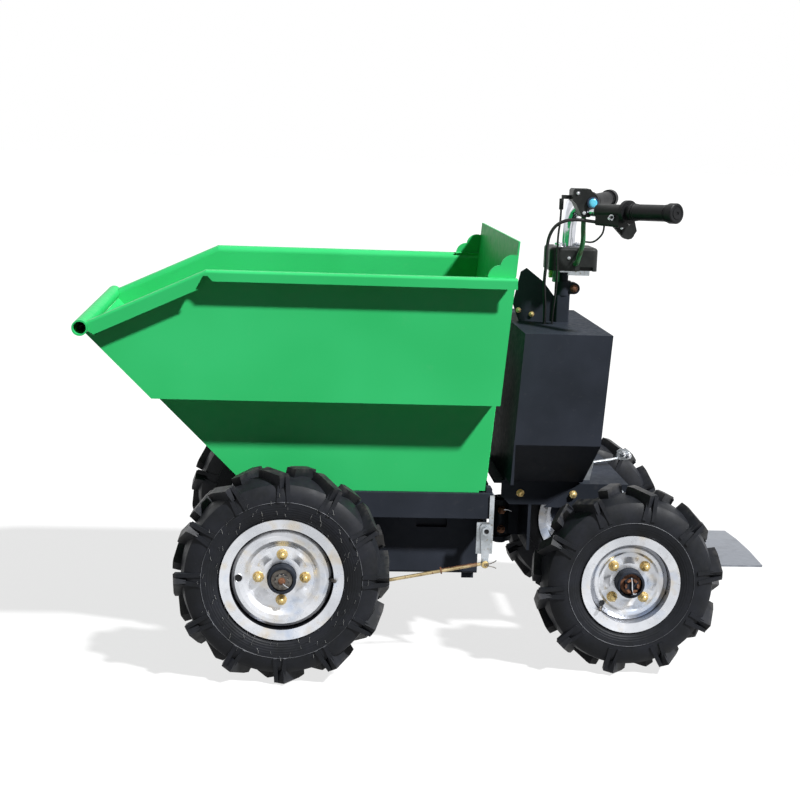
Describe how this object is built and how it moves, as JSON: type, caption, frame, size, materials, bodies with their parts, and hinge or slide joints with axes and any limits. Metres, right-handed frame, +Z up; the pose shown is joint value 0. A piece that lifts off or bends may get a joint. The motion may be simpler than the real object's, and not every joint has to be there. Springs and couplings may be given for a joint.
{
  "type": "site dumper",
  "caption": "Articulated mini site dumper: front-tipping open steel skip, chassis pivoting behind it, lugged wheels, rear box with column, handlebar and foot plate.",
  "frame": {"origin": "on the ground at the middle of the overall length, on the machine's middle plane", "axes": "-X towards the skip's lip (front), +Y the machine's right-hand side, +Z up"},
  "size_m": [1.399, 0.7642, 0.9465],
  "materials": {
    "green_paint": "satin",
    "dark_paint": "satin",
    "tyre_rubber": "matte",
    "rim_silver": "satin",
    "zinc_plate": "satin",
    "chrome_bar": "polished",
    "black_plastic": "matte",
    "grip_rubber": "matte",
    "cast_housing": "matte",
    "cable_black": "satin",
    "loom_green": "satin",
    "tread_aluminium": "satin"
  },
  "bodies": {
    "front_chassis": {"left_rail": "dark_paint", "right_rail": "dark_paint", "cross_members": "dark_paint", "hinge_brackets": "dark_paint", "pivot_bracket": "dark_paint", "front_axle": "cast_housing", "drive_motor": "cast_housing", "battery_case": "dark_paint", "brake_bracket": "zinc_plate", "brake_rod": "zinc_plate", "skip_rests": "dark_paint"},
    "skip": {"skip_side_left": "green_paint", "skip_side_right": "green_paint", "skip_front_sheet": "green_paint", "skip_floor": "green_paint", "skip_rear_wall": "green_paint", "skip_rim_left": "green_paint", "skip_rim_right": "green_paint", "skip_lip_tube": "green_paint", "skip_gussets": "green_paint", "skip_runners": "green_paint", "skip_hinge_lugs": "green_paint"},
    "rear_chassis": {"rear_frame": "dark_paint", "rear_deck": "dark_paint", "rear_axle": "dark_paint", "foot_plate": "tread_aluminium", "foot_arms": "dark_paint", "battery_box": "dark_paint", "steering_column": "dark_paint", "column_brace": "dark_paint", "console": "black_plastic", "handlebar": "chrome_bar", "grip_left": "grip_rubber", "grip_right": "grip_rubber", "box_angle": "zinc_plate", "console_tray": "zinc_plate", "brake_lever": "black_plastic", "switch_housing": "black_plastic", "loop_cable": "cable_black", "control_cable": "cable_black", "thin_cable": "cable_black", "wire_loom": "loom_green"},
    "front_left_wheel": {"front_left_tyre": "tyre_rubber", "front_left_rim": "rim_silver", "front_left_hub": "dark_paint"},
    "front_right_wheel": {"front_right_tyre": "tyre_rubber", "front_right_rim": "rim_silver", "front_right_hub": "dark_paint"},
    "rear_left_wheel": {"rear_left_tyre": "tyre_rubber", "rear_left_rim": "rim_silver", "rear_left_hub": "dark_paint"},
    "rear_right_wheel": {"rear_right_tyre": "tyre_rubber", "rear_right_rim": "rim_silver", "rear_right_hub": "dark_paint"}
  },
  "joints": [
    {"name": "steer", "type": "hinge", "parent": "front_chassis", "child": "rear_chassis", "pos_m": [0.165, 0, 0.24], "axis": [0, 0, 1], "range_deg": [-10, 10]},
    {"name": "skip_tip", "type": "hinge", "parent": "front_chassis", "child": "skip", "pos_m": [-0.362, 0, 0.326], "axis": [0, -1, 0], "range_deg": [0, 70]},
    {"name": "front_left_roll", "type": "hinge", "parent": "front_chassis", "child": "front_left_wheel", "pos_m": [-0.3, -0.325, 0.2075], "axis": [0, 1, 0], "continuous": true},
    {"name": "front_right_roll", "type": "hinge", "parent": "front_chassis", "child": "front_right_wheel", "pos_m": [-0.3, 0.325, 0.2075], "axis": [0, 1, 0], "continuous": true},
    {"name": "rear_left_roll", "type": "hinge", "parent": "rear_chassis", "child": "rear_left_wheel", "pos_m": [0.384, -0.26, 0.1875], "axis": [0, 1, 0], "continuous": true},
    {"name": "rear_right_roll", "type": "hinge", "parent": "rear_chassis", "child": "rear_right_wheel", "pos_m": [0.384, 0.26, 0.1875], "axis": [0, 1, 0], "continuous": true}
  ]
}
